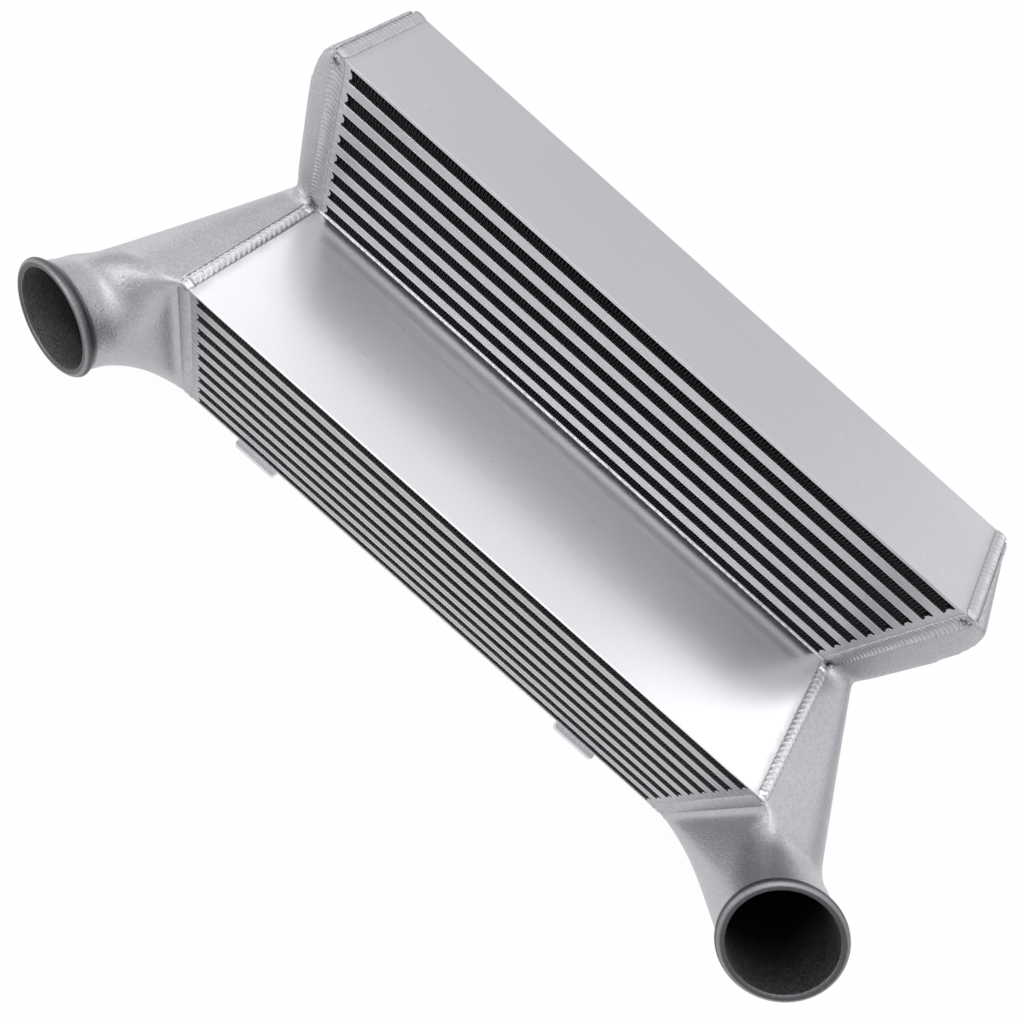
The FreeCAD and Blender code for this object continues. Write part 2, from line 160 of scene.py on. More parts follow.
class Graph:
    """Adds nodes and links to one node tree."""

    def __init__(self, tree: bpy.types.NodeTree) -> None:
        """Empty the tree and keep it."""
        self.tree = tree
        tree.nodes.clear()

    def feed(self, socket: Socket, value: Any) -> None:
        """Link a socket, or set a constant, unless value is None."""
        if isinstance(value, Value):
            value = value.socket
        if isinstance(value, bpy.types.NodeSocket):
            self.tree.links.new(value, socket)
        elif value is not None:
            socket.default_value = value

    def add(self, kind: str, *values: Any, named: dict[str, Any] | None = None,
            **settings: Any) -> Node:
        """Add a node.

        Args:
            kind: The node's type.
            values: Values or constants for its first inputs.
            named: Values or constants by input name.
            settings: Properties of the node, set first.

        Returns:
            The new node.
        """
        node = self.tree.nodes.new(kind)
        for name, value in settings.items():
            setattr(node, name, value)
        for socket, value in zip(node.inputs, values):
            self.feed(socket, value)
        for name, value in (named or {}).items():
            self.feed(node.inputs[name], value)
        return node

    def get(self, kind: str, *values: Any, out: int | str = 0,
            named: dict[str, Any] | None = None, **settings: Any) -> Value:
        """Add a node as add does, and give one of its outputs."""
        node = self.add(kind, *values, named=named, **settings)
        return Value(self, node.outputs[out])

    def math(self, operation: str, *values: Any) -> Value:
        """Result of one operation on numbers."""
        return self.get("ShaderNodeMath", *values, operation=operation)

    def largest(self, *values: Any) -> Value:
        """The largest of some numbers."""
        return reduce(lambda one, other: self.math("MAXIMUM", one, other), values)

    def vector(self, operation: str, *values: Any) -> Value:
        """Result of one operation on vectors, a number for lengths and products."""
        measures = ("LENGTH", "DISTANCE", "DOT_PRODUCT")
        return self.get("ShaderNodeVectorMath", *values, operation=operation,
                        out="Value" if operation in measures else "Vector")

    def scaled(self, vector: Any, size: Any) -> Value:
        """A vector times a number."""
        return self.get("ShaderNodeVectorMath", vector, operation="SCALE",
                        named={"Scale": size})

    def split(self, vector: Any) -> list[Value]:
        """The three parts of a vector."""
        node = self.add("ShaderNodeSeparateXYZ", vector)
        return [Value(self, socket) for socket in node.outputs]

    def join(self, x: Any = None, y: Any = None, z: Any = None) -> Value:
        """A vector from three parts."""
        return self.get("ShaderNodeCombineXYZ", x, y, z)

    def ramp(self, value: Any, low: Any, high: Any, start: float = 0.0,
             end: float = 1.0, smooth: bool = False) -> Value:
        """A value mapped from one range to another, and held within it."""
        return self.get("ShaderNodeMapRange", value, low, high, start, end,
                        interpolation_type="SMOOTHSTEP" if smooth else "LINEAR")

    def noise(self, place: Any, scale: Any, detail: float = 2.0,
              roughness: float = 0.5, distortion: float = 0.0) -> Value:
        """Noise between 0 and 1 at a place, in repeats to the metre."""
        return self.get("ShaderNodeTexNoise", named={
            "Vector": place, "Scale": scale, "Detail": detail,
            "Roughness": roughness, "Distortion": distortion})

    def cells(self, place: Any, scale: Any) -> Value:
        """Distance to the nearest of scattered points."""
        return self.get("ShaderNodeTexVoronoi", out="Distance",
                        named={"Vector": place, "Scale": scale})

    def mark(self, name: str) -> Value:
        """Number that the mesh carries under a name."""
        return self.get("ShaderNodeAttribute", attribute_name=name, out="Fac")

    def sources(self) -> Values:
        """The inputs of the tree's own group by name."""
        node = self.add("NodeGroupInput")
        return {socket.name: Value(self, socket) for socket in node.outputs if socket.name}

    def tint(self, share: Any, first: Any, second: Any) -> Value:
        """A colour between two others."""
        node = self.add("ShaderNodeMix", data_type="RGBA")
        for index, value in ((0, share), (6, first), (7, second)):
            if isinstance(value, tuple):
                value = (*value, 1.0)
            self.feed(node.inputs[index], value)
        return Value(self, node.outputs[2])


GroupMaker = Callable[[Graph, Values], Values]


@dataclass
class EffectGroup:
    """Shader effect that several finishes share."""

    name: str
    inputs: dict[str, Any]
    outputs: tuple[str, ...]
    fill: GroupMaker
    tree: bpy.types.NodeTree | None = None

    def build(self) -> bpy.types.NodeTree:
        """Make the node group once.

        Returns:
            The group's tree.
        """
        if self.tree is None:
            tree = bpy.data.node_groups.new(self.name, "ShaderNodeTree")
            for name, value in self.inputs.items():
                kind = "NodeSocketVector" if value is None else "NodeSocketFloat"
                socket = tree.interface.new_socket(name, in_out="INPUT", socket_type=kind)
                if value is not None:
                    socket.default_value = value
            for name in self.outputs:
                tree.interface.new_socket(name, in_out="OUTPUT",
                                          socket_type="NodeSocketFloat")
            graph = Graph(tree)
            graph.add("NodeGroupOutput", named=self.fill(graph, graph.sources()))
            self.tree = tree
        return self.tree

    def place(self, graph: Graph, **values: Any) -> Values:
        """Add the group to a material.

        Args:
            graph: The material's tree.
            values: Inputs by name, with _ for a space.

        Returns:
            Its outputs by name.
        """
        node = graph.add("ShaderNodeGroup", node_tree=self.build(),
                         named={name.replace("_", " "): value
                                for name, value in values.items()})
        return {name: Value(graph, node.outputs[name]) for name in self.outputs}


def fill_rolling(graph: Graph, source: Values) -> Values:
    """Fine lines along the sheet's length, with broad soft bands."""
    x, y, z = graph.split(source["Place"])
    place = graph.join(x / source["Stretch"], y, z)
    fine = graph.noise(place, source["Scale"], 3.0, 0.6)
    broad = graph.noise(place, source["Scale"] * 0.06, 2.0)
    cloud = graph.noise(source["Place"], 9.0, 3.0)
    return {"Lines": fine, "Bands": broad * 0.5 + cloud * 0.5}


def fill_sand(graph: Graph, source: Values) -> Values:
    """Sandy grain of a casting, with the broad unevenness below it."""
    grain = graph.noise(source["Place"], source["Scale"], 4.0, 0.65)
    hollow = graph.ramp(graph.cells(source["Place"], source["Scale"] * 0.45), 0.05, 0.32)
    skin = grain * 0.7 + hollow * 0.3
    patch = graph.noise(source["Place"], 16.0, 3.0, 0.55)
    return {"Grain": skin, "Speckle": graph.ramp(grain, 0.3, 0.72), "Patch": patch}


def fill_marks(graph: Graph, source: Values) -> Values:
    """Thin scratches in two directions, and small specks."""
    place = source["Place"]
    x, y, z = graph.split(place)
    long_way = graph.noise(graph.join(x * 0.16, y, z), 85.0, 1.0, 0.5, 0.6)
    short_way = graph.noise(graph.join(x, y * 0.25, z), 60.0, 1.0, 0.5, 1.2)
    chosen = graph.ramp(graph.noise(place, 14.0, 1.0), 0.56, 0.66)
    lines = [graph.ramp(abs(way - 0.5), 0.0, source["Width"], 1.0, 0.0)
             for way in (long_way, short_way)]
    scratch = graph.largest(*lines) * chosen
    spots = graph.cells(place, source["Specks"])
    rare = graph.ramp(graph.noise(place, 31.0, 1.0), 0.60, 0.68)
    return {"Scratch": scratch, "Speck": graph.ramp(spots, 0.02, 0.10, 1.0, 0.0) * rare}


def fill_soot(graph: Graph, source: Values) -> Values:
    """Grey film that a weld leaves beside the joint, as a share."""
    gap = abs(abs(graph.split(source["Place"])[0]) - source["Joint"])
    ragged = graph.noise(source["Place"], 90.0, 3.0, 0.6) * source["Reach"]
    return {"Soot": graph.ramp(gap - ragged, 0.0, source["Reach"], 1.0, 0.0, smooth=True)}


def fill_scorch(graph: Graph, source: Values) -> Values:
    """Dark, broken spots at the corners of the front faces, both ends; the toe spot is
    painted shade.
    """
    x, y, z = graph.split(source["Place"])
    folded = graph.join(abs(x), y, z)
    ragged = graph.noise(source["Place"], 560.0, 3.0, 0.75) * (source["Reach"] * 2.2)
    spots = []
    # The toe corner's spot is painted shade of a small dark facet.
    for corner, share in (("High Corner", 1.0), ("Low Corner", 1.0), ("Toe Corner", 0.55)):
        gap = graph.vector("DISTANCE", folded, source[corner])
        reach = source["Reach"] * share
        spots.append(graph.ramp(gap + ragged, reach, reach * 1.7, 1.0, 0.0, smooth=True))
    return {"Scorch": graph.largest(*spots)}


ROLLING = EffectGroup("Rolling lines", {"Place": None, "Scale": 900.0, "Stretch": 18.0},
                      ("Lines", "Bands"), fill_rolling)
SAND = EffectGroup("Sand grain", {"Place": None, "Scale": 900.0},
                   ("Grain", "Speckle", "Patch"), fill_sand)
MARKS = EffectGroup("Handling marks", {"Place": None, "Width": 0.004, "Specks": 160.0},
                    ("Scratch", "Speck"), fill_marks)
SOOT = EffectGroup("Weld film", {"Place": None, "Joint": 0.26, "Reach": 0.008},
                   ("Soot",), fill_soot)
CORNER_DARK = EffectGroup("Weld scorch", {"Place": None, "High Corner": None,
                                     "Low Corner": None, "Toe Corner": None,
                                     "Reach": 0.0085},
                     ("Scorch",), fill_scorch)


# Finishes

@dataclass(frozen=True)
class MetalFinish:
    """Aluminium surface, the base of every finish here."""

    name: str
    slot: str
    colour: Colour
    roughness: float
    bump: float = 0.1
    bump_depth: float = 0.00005
    # Colour of the dark corner spots; at the toe corner this is painted shade.
    scorch: Colour = (0.05, 0.045, 0.05)
    scorch_out: float = 1.0
    scorch_shifts: tuple[tuple[float, float], ...] = ((-2.5, -4.5), (-1.5, 4.0),
                                                      (-3.0, -4.0))

    def material(self) -> bpy.types.Material:
        """Build the material once.

        Returns:
            The material.
        """
        made = bpy.data.materials.get(self.name)
        if made is None:
            made = bpy.data.materials.new(self.name)
            made.use_nodes = True
            made.diffuse_color = (*self.colour, 1.0)
            graph = Graph(made.node_tree)
            place = graph.get("ShaderNodeTexCoord", out="Object")
            shader = graph.get("ShaderNodeBsdfPrincipled", named={
                "Metallic": 1.0, "Base Color": (*self.colour, 1.0),
                "Roughness": self.roughness, **self.pattern(graph, place)})
            graph.add("ShaderNodeOutputMaterial", shader)
        return made

    def pattern(self, graph: Graph, place: Value) -> Values:
        """Inputs of the shader that vary over the surface."""
        raise NotImplementedError

    def scorched(self, graph: Graph, place: Value, colour: Value) -> Value:
        """Colour with dark spots at the corners of the front faces, the toe spot being
        painted shade.
        """
        o = CoreOutline.from_frame()
        corners = ((o.step_front, o.top), (o.step_front, o.step_top), (o.front, o.step_top))
        spots = [((o.half + self.scorch_out) * MM, (y + back) * MM, (z + rise) * MM)
                 for (y, z), (back, rise) in zip(corners, self.scorch_shifts)]
        share = CORNER_DARK.place(graph, Place=place, High_Corner=spots[0],
                             Low_Corner=spots[1], Toe_Corner=spots[2])["Scorch"]
        return graph.tint(share, colour, self.scorch)

    def normal(self, graph: Graph, height: Value) -> Value:
        """The surface's direction as a height moves it."""
        return graph.get("ShaderNodeBump", named={
            "Strength": self.bump, "Distance": self.bump_depth, "Height": height})


@dataclass(frozen=True)
class SheetFinish(MetalFinish):
    """Rolled sheet, satin or bright, with handling marks and weld film."""

    shade: Colour = (0.55, 0.55, 0.58)
    film: Colour = (0.50, 0.49, 0.50)
    scratch: Colour = (0.97, 0.97, 0.98)
    speck: Colour = (0.25, 0.24, 0.25)
    spread: float = 0.08
    lines: float = 900.0
    scratches: float = 0.4
    soot: float = 0.35

    def pattern(self, graph: Graph, place: Value) -> Values:
        """Colour and gloss that vary along the rolling direction."""
        rolled = ROLLING.place(graph, Place=place, Scale=self.lines)
        marks = MARKS.place(graph, Place=place)
        film = SOOT.place(graph, Place=place)["Soot"]
        bands = graph.ramp(rolled["Bands"], 0.3, 0.7, 0.0, 0.35)
        colour = graph.tint(bands, self.colour, self.shade)
        for share, tone in ((film * self.soot, self.film),
                            (marks["Scratch"] * self.scratches, self.scratch),
                            (marks["Speck"] * self.scratches, self.speck)):
            colour = graph.tint(share, colour, tone)
        gloss = graph.ramp(rolled["Lines"], 0.25, 0.75, self.roughness - self.spread,
                           self.roughness + self.spread)
        height = rolled["Lines"] + marks["Scratch"] * -1.5
        return {"Base Color": self.scorched(graph, place, colour),
                "Roughness": gloss + film * 0.15, "Normal": self.normal(graph, height)}


@dataclass(frozen=True)
class CastFinish(MetalFinish):
    """Sand-cast aluminium, with its bore and inside painted dark and speckled as shade.

    Lengths are metres: radii from the outlet's axis, depths behind the mouth.
    """

    shade: Colour = (0.34, 0.33, 0.36)
    speckle: Colour = (0.74, 0.73, 0.76)
    film: Colour = (0.46, 0.45, 0.46)
    film_reach: float = 0.006
    grain: float = 640.0
    # The lip's front is darkened towards this colour as painted shade.
    lip: Colour = (0.03, 0.03, 0.032)
    lip_tone: float = 0.17
    lip_reach: float = 0.0066
    lip_radii: tuple[float, float] = (0.046, 0.048)
    # Painted shade along the groove behind the lip.
    groove_tone: float = 0.62
    groove_reach: float = 0.0086
    # Painted highlight on the lip's crest and inner rim, and the depths it covers.
    worn: float = 0.45
    worn_depths: tuple[float, float] = (-0.0030, -0.0020)
    crest: float = 0.0393
    rim_radii: tuple[float, float] = (0.0350, 0.0354)
    mouth: Point = (0.0, 0.0, 0.0)
    way: Point = (0.0, 0.0, 1.0)
    # Painted shade inside the bore and the tank: speckled near black, blacker deeper in.
    bore_colour: Colour = (0.06, 0.058, 0.06)
    bore_speck: Colour = (0.24, 0.235, 0.24)
    bore_black: Colour = (0.004, 0.004, 0.004)
    bore_depths: tuple[float, float] = (-0.055, -0.004)

    def pattern(self, graph: Graph, place: Value) -> Values:
        """Grain, patches, weld film, painted shade and highlights on the lip, and painted
        shade inside the bore and tank.
        """
        sand = SAND.place(graph, Place=place, Scale=self.grain)
        film = SOOT.place(graph, Place=place, Reach=self.film_reach)["Soot"]
        patch = graph.ramp(sand["Patch"], 0.3, 0.7, 0.0, 0.45)
        colour = graph.tint(patch, self.colour, self.shade)
        colour = graph.tint(sand["Speckle"] * 0.5, colour, self.speckle)
        colour = graph.tint(film * 0.3, colour, self.film)
        offset = graph.vector("SUBTRACT", place, self.mouth)
        radius = graph.vector("LENGTH", graph.vector("CROSS_PRODUCT", offset, self.way))
        depth = graph.vector("DOT_PRODUCT", offset, self.way)
        # Painted shade on the lip and its groove, with painted highlights on crest and rim.
        colour = graph.tint(self.lip_shade(graph, radius, depth), colour, self.lip)
        # Points seen from the outlet's axis get painted shade, darkest deep inside.
        inside = graph.mark("inside")
        dark = graph.tint(sand["Speckle"], self.bore_colour, self.bore_speck)
        dark = graph.tint(graph.ramp(depth, *self.bore_depths, 0.12), self.bore_black, dark)
        colour = graph.tint(inside, colour, dark)
        gloss = graph.ramp(sand["Grain"], 0.2, 0.8, self.roughness - 0.08,
                           self.roughness + 0.1)
        return {"Base Color": self.scorched(graph, place, colour),
                "Roughness": gloss + inside * 0.3,
                "Normal": self.normal(graph, sand["Grain"])}

    def lip_shade(self, graph: Graph, radius: Value, depth: Value) -> Value:
        """How much painted shade darkens the lip and its groove, less where a painted
        highlight lies on the lip's crest and inner rim.
        """
        lip, groove = -self.lip_reach, -self.groove_reach
        about = graph.ramp(radius, *self.lip_radii, 1.0, 0.0)
        dark = graph.ramp(depth, lip - 0.0005, lip, 0.0, 1.0 - self.lip_tone)
        # Painted highlights along the crest and the inner rim lighten the lip.
        crest = graph.ramp(abs(radius - self.crest), 0.0005, 0.0016, self.worn, 0.0,
                           smooth=True)
        rim = graph.ramp(radius, *self.rim_radii, self.worn, 0.0)
        worn = graph.largest(crest, rim) * graph.ramp(depth, *self.worn_depths)
        dark = dark * (1.0 - worn)
        # Painted shade of the groove.
        hollow = (graph.ramp(depth, groove - 0.0008, groove + 0.0006, 0.0, self.groove_tone)
                  * graph.ramp(depth, lip, lip + 0.0006, 1.0, 0.0))
        return about * graph.largest(dark, hollow)


@dataclass(frozen=True)
class WeldFinish(MetalFinish):
    """Bright weld metal, darker where one scale meets the next, partly oxide and partly
    painted shade.
    """

    shade: Colour = (0.50, 0.50, 0.53)
    seam: float = 0.6
    seam_colour: Colour = (0.20, 0.20, 0.22)

    def pattern(self, graph: Graph, place: Value) -> Values:
        """Fine oxide patches, and dark seams along the bead's own attribute, partly painted
        shade.
        """
        patch = graph.noise(place, 260.0, 3.0, 0.6)
        colour = graph.tint(graph.ramp(patch, 0.35, 0.75, 0.0, 0.6), self.colour, self.shade)
        # Dark seams between scales: partly oxide, partly painted shade.
        share = graph.mark("seam") * graph.ramp(patch, 0.3, 0.6, self.seam * 0.4, self.seam)
        colour = graph.tint(share, colour, self.seam_colour)
        gloss = graph.ramp(patch, 0.3, 0.8, self.roughness - 0.05, self.roughness + 0.1)
        return {"Base Color": self.scorched(graph, place, colour), "Roughness": gloss,
                "Normal": self.normal(graph, graph.noise(place, 900.0, 2.0))}


@dataclass(frozen=True)
class FinFinish(MetalFinish):
    """Dull thin strip, painted near black as shade within the row, paler at its cut edges."""

    edge: Colour = (0.34, 0.34, 0.36)
    reach: float = 0.0014
    front: float = 0.0
    rear: float = 0.1

    def pattern(self, graph: Graph, place: Value) -> Values:
        """A strip painted darker as shade with depth behind the row's open faces."""
        y = graph.split(place)[1]
        depth = graph.math("MINIMUM", y - self.front, self.rear - y)
        patch = graph.ramp(graph.noise(place, 420.0, 2.0), 0.3, 0.7, 0.55, 1.0)
        share = graph.ramp(depth, 0.0, self.reach, 1.0, 0.0) * patch
        return {"Base Color": graph.tint(share, self.colour, self.edge),
                "Normal": self.normal(graph, graph.noise(place, 1200.0, 2.0))}


class Finishes:
    """Every finish of the object, named as its slots are."""

    top = SheetFinish("Satin rolled plate", "rolled_plate", (0.61, 0.60, 0.63), 0.42,
                      bump=0.12, scratches=0.25)
    step = SheetFinish("Bright rolled plate", "bright_plate", (0.88, 0.88, 0.90), 0.29,
                       bump=0.015, shade=(0.79, 0.80, 0.84), spread=0.02,
                       scratches=0.35)
    sheet = SheetFinish("Bright sheet edge", "rolled_plate", (0.82, 0.82, 0.84), 0.30,
                        bump=0.05, soot=0.6)
    upper_bar = SheetFinish("Drawn bar", "drawn_bar", (0.56, 0.56, 0.58), 0.36, bump=0.15,
                            shade=(0.46, 0.46, 0.49), lines=1400.0, scratches=0.3,
                            soot=0.4)
    # Same bar stock as above, rougher, its colour painted darker as shade on the lower face.
    lower_bar = SheetFinish("Duller drawn bar", "drawn_bar", (0.48, 0.48, 0.50), 0.42,
                            bump=0.15, shade=(0.40, 0.40, 0.42), lines=1400.0,
                            scratches=0.3, soot=0.4)
    tab = SheetFinish("Tab plate", "tab_plate", (0.86, 0.86, 0.88), 0.66, bump=0.12)
    bead = WeldFinish("Weld bead", "weld_bead", (0.84, 0.84, 0.86), 0.32, bump=0.1,
                      shade=(0.64, 0.64, 0.67), seam=0.75)
    top_bead = WeldFinish("Brushed weld bead", "weld_bead", (0.60, 0.60, 0.62), 0.36,
                          bump=0.1, shade=(0.50, 0.50, 0.53), seam=0.4)
    face_bead = WeldFinish("Dull weld bead", "weld_bead", (0.53, 0.525, 0.55), 0.34,
                           bump=0.15, shade=(0.40, 0.40, 0.43), seam=0.8)
    braze = WeldFinish("Braze line", "weld_bead", (0.88, 0.88, 0.90), 0.30, bump=0.2)

    @staticmethod
    def fin(stack: Stack, outline: CoreOutline) -> FinFinish:
        """Finish of one stack's strips, which knows where the rows open."""
        front = outline.step_front if stack is Stack.UPPER else outline.front
        # Near-black colour is painted shade within the rows; the edge colour is the strip's
        # own.
        return FinFinish(f"Fin strip, {stack.value}", "fin_strip", (0.010, 0.010, 0.011),
                         0.55, front=front * MM, rear=outline.rear * MM)


# Meshes

def add_object(name: str, data: bpy.types.ID) -> bpy.types.Object:
    """Put a mesh, a lamp or a camera in the scene as an object."""
    made = bpy.data.objects.new(name, data)
    bpy.context.scene.collection.objects.link(made)
    return made


@contextmanager
def editing(mesh: bpy.types.Mesh,
            *sources: bpy.types.Mesh) -> Iterator[bmesh.types.BMesh]:
    """Open a mesh for edits, and write them to it at the end.

    Args:
        mesh: Mesh that is written.
        sources: Meshes to begin with, or none for the mesh itself.

    Yields:
        The open mesh.
    """
    work = bmesh.new()
    for source in sources or (mesh,):
        work.from_mesh(source)
    yield work
    work.to_mesh(mesh)
    work.free()


def merged_copy(node: str) -> bpy.types.Mesh:
    """Copy of a CAD node's mesh with its loose triangles joined.

    Args:
        node: Name of the CAD node.

    Returns:
        A new mesh.
    """
    mesh = bpy.data.meshes.new(node + " copy")
    with editing(mesh, frame["nodes"][node].data) as work:
        bmesh.ops.remove_doubles(work, verts=work.verts, dist=0.5e-6)
    return mesh


def evaluated_mesh(subject: bpy.types.Object) -> bpy.types.Mesh:
    """Plain mesh of an object with its modifiers, which are then removed."""
    graph = bpy.context.evaluated_depsgraph_get()
    mesh = bpy.data.meshes.new_from_object(subject.evaluated_get(graph), depsgraph=graph)
    subject.modifiers.clear()
    subject.data = mesh
    return mesh


def turn_out(mesh: bpy.types.Mesh) -> None:
    """Merge doubles and make a closed mesh's faces point outwards."""
    with editing(mesh) as work:
        bmesh.ops.remove_doubles(work, verts=work.verts, dist=1e-7)
        bmesh.ops.recalc_face_normals(work, faces=work.faces)


def settle(piece: bpy.types.Object, finish: MetalFinish, *nodes: str) -> None:
    """Dress a piece, tie it to the part and report it.

    Args:
        piece: The finished piece.
        finish: Its finish.
        nodes: CAD nodes that it stands for.
    """
    piece.data.materials.clear()
    piece.data.materials.append(finish.material())
    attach(piece, BODY)
    if nodes:
        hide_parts(*nodes)
    LOG.info("%s: %d faces", piece.name, len(piece.data.polygons))


def dress_node(node: str, finish: MetalFinish) -> None:
    """Give a CAD node that stays its material."""
    subject = frame["nodes"][node]
    if not subject.material_slots:
        subject.data.materials.append(None)
    for slot in subject.material_slots:
        slot.material = finish.material()
    LOG.info("%s: kept as the solid gives it", node)


@dataclass(frozen=True)
class TreeInput:
    """Named input of a Geometry Nodes tree."""

    name: str
    kind: str = "NodeSocketFloat"


class PathTool:
    """Geometry Nodes tree that makes one piece, with named inputs."""

    title = "Piece"
    inputs: tuple[TreeInput, ...] = ()

    def __init__(self) -> None:
        """Build the tree, with its material set at the end."""
        self.tree = bpy.data.node_groups.new(self.title, "GeometryNodeTree")
        face = self.tree.interface
        face.new_socket("Geometry", in_out="INPUT", socket_type="NodeSocketGeometry")
        for entry in (*self.inputs, TreeInput("Material", "NodeSocketMaterial")):
            face.new_socket(entry.name, in_out="INPUT", socket_type=entry.kind)
        face.new_socket("Geometry", in_out="OUTPUT", socket_type="NodeSocketGeometry")
        self.graph = Graph(self.tree)
        self.source = self.graph.sources()
        real = self.graph.get("GeometryNodeRealizeInstances", self.shape())
        done = self.graph.get("GeometryNodeSetMaterial", named={
            "Geometry": real, "Material": self.source["Material"]})
        self.graph.add("NodeGroupOutput", done)

    def shape(self) -> Value:
        """Nodes of this tree's own geometry."""
        raise NotImplementedError

    def keep(self, geometry: Value, name: str, value: Value,
             kind: str = "FLOAT") -> Value:
        """Geometry with one more named attribute on its points."""
        return self.graph.get("GeometryNodeStoreNamedAttribute", data_type=kind,
                              domain="POINT", named={"Geometry": geometry, "Name": name,
                                                     "Value": value})

    def read(self, name: str, kind: str = "FLOAT") -> Value:
        """Value of a named attribute."""
        return self.graph.get("GeometryNodeInputNamedAttribute", data_type=kind,
                              named={"Name": name})

    def run(self, name: str, start: bpy.types.Mesh, finish: MetalFinish,
            **values: Any) -> bpy.types.Object:
        """Run the tree on a mesh and keep the result as a plain mesh.

        Args:
            name: Name of the piece.
            start: Mesh that the tree begins with.
            finish: Finish of the piece.
            values: Inputs by name, with _ for a space.

        Returns:
            The piece.
        """
        piece = add_object(name, start)
        modifier = piece.modifiers.new(self.title, "NODES")
        modifier.node_group = self.tree
        wanted = {key.replace("_", " "): value for key, value in values.items()}
        wanted["Material"] = finish.material()
        for item in self.tree.interface.items_tree:
            if item.in_out == "INPUT" and item.name in wanted:
                modifier[item.identifier] = wanted[item.name]
        evaluated_mesh(piece)
        turn_out(piece.data)
        return piece


# Fin rows

class CorrugatedStrip(PathTool):
    """Thin strip folded up and down along X, drawn out along Y."""

    title = "Corrugated strip"
    inputs = (TreeInput("Start", "NodeSocketVector"), TreeInput("Length"),
              TreeInput("Height"), TreeInput("Depth"), TreeInput("Pitch"),
              TreeInput("Metal"), TreeInput("Crest"), TreeInput("Wander"),
              TreeInput("Seed"))
    fold_points = 8
    drift_rate = 0.16

    def shape(self) -> Value:
        """A wave of straight legs and tight crests, given its thickness."""
        g, s = self.graph, self.source
        folds = g.math("ROUND", s["Length"] / s["Pitch"])
        count = g.math("MULTIPLY_ADD", folds, self.fold_points, 1.0)
        line = g.get("GeometryNodeMeshLine", mode="OFFSET", named={"Count": count})
        phase = g.get("GeometryNodeInputIndex") / self.fold_points
        wave = g.math("SINE", phase * (2 * math.pi)) * s["Crest"]
        wave = g.math("MINIMUM", g.largest(wave, -1.0), 1.0)
        along = phase * s["Length"] / folds
        drift = g.noise(g.join(phase * self.drift_rate, s["Seed"]), 1.0, 1.0)
        along = along + (drift - 0.5) * s["Wander"]
        place = g.join(along, 0.0, wave * (s["Height"] * 0.5))
        line = g.get("GeometryNodeSetPosition", named={
            "Geometry": line, "Position": g.vector("ADD", place, s["Start"])})
        wall = g.get("GeometryNodeExtrudeMesh", mode="EDGES", named={
            "Mesh": line, "Offset": g.join(0.0, s["Depth"], 0.0)})
        raised = g.get("GeometryNodeExtrudeMesh", mode="FACES", named={
            "Mesh": wall, "Offset Scale": s["Metal"], "Individual": False})
        back = g.get("GeometryNodeFlipFaces", wall)
        both = g.add("GeometryNodeJoinGeometry")
        for half in (raised, back):
            g.feed(both.inputs[0], half)
        return g.get("GeometryNodeMergeByDistance", named={
            "Geometry": both.outputs[0], "Distance": 1e-6})


@dataclass
class FinRows:
    """The open rows of both stacks, with fins at their real pitch."""

    outline: CoreOutline
    pitch: float = 2.65
    metal: float = 0.40
    crest: float = 1.5
    wander: float = 1.6
    counts: dict[Stack, int] = field(default_factory=lambda: {Stack.UPPER: 8,
                                                              Stack.LOWER: 9})

    def build(self) -> None:
        """Replace each row's strip with a finely folded one."""
        tool = CorrugatedStrip()
        for stack, count in self.counts.items():
            for number in range(1, count + 1):
                self.row(tool, stack, number)

    def row(self, tool: CorrugatedStrip, stack: Stack, number: int) -> None:
        """Build one row.

        Args:
            tool: The tree that folds the strip.
            stack: Stack of the row.
            number: Row's number from the top.
        """
        node = f"{stack.value}_air_fin_{number}"
        low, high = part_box(node)
        size = high - low
        start = Vector((low.x, low.y, (low.z + high.z) / 2))
        finish = Finishes.fin(stack, self.outline)
        piece = tool.run(f"{stack.value}_fin_strip_{number}", bpy.data.meshes.new(node),
                         finish, Start=start, Length=size.x,
                         Height=size.z - 2 * self.metal * MM, Depth=size.y,
                         Pitch=self.pitch * MM, Metal=self.metal * MM, Crest=self.crest,
                         Wander=self.wander * MM, Seed=3.7 * number + len(stack.value))
        settle(piece, finish, node)


# Plates and bars

@dataclass
class EasedPieces:
    """Plates, bars and tabs with their edges eased, as sawn stock has them."""

    radius: dict[str, float] = field(default_factory=lambda: {
        "plate": 0.35, "sheets": 0.1, "bars": 0.3, "tab": 0.6})
    flat_angle: float = 2.0
    sharp_angle: float = 30.0
    segments: int = 2

    def finish_for(self, node: str) -> MetalFinish:
        """Finish of a node by its name."""
        if node == "step_plate":
            return Finishes.step
        if node.endswith("sheets") or node == "upper_base_plate":
            return Finishes.sheet
        if node.endswith("tab"):
            return Finishes.tab
        if node.endswith("bars"):
            upper = node.startswith(Stack.UPPER.value)
            return Finishes.upper_bar if upper else Finishes.lower_bar
        return Finishes.top

    def build(self) -> None:
        """Ease every plate, sheet, bar and tab."""
        for node in frame["nodes"]:
            for ending, radius in self.radius.items():
                if node.endswith(ending):
                    self.ease(node, radius)

    def ease(self, node: str, radius: float) -> None:
        """Replace a node with the same solids, their edges rounded.

        Args:
            node: Name of the node.
            radius: Radius of the edges.
        """
        mesh = merged_copy(node)
        with editing(mesh) as work:
            bmesh.ops.dissolve_limit(work, angle_limit=math.radians(self.flat_angle),
                                     verts=work.verts, edges=work.edges)
            sharp = [edge for edge in work.edges if len(edge.link_faces) == 2
                     and edge.calc_face_angle() > math.radians(self.sharp_angle)]
            bmesh.ops.bevel(work, geom=sharp, offset=radius * MM, segments=self.segments,
                            profile=0.5, affect="EDGES", clamp_overlap=True)
            bmesh.ops.triangulate(work, faces=[f for f in work.faces if len(f.verts) > 4])
        settle(add_object(node + "_eased", mesh), self.finish_for(node), node)


# Beads that follow a path

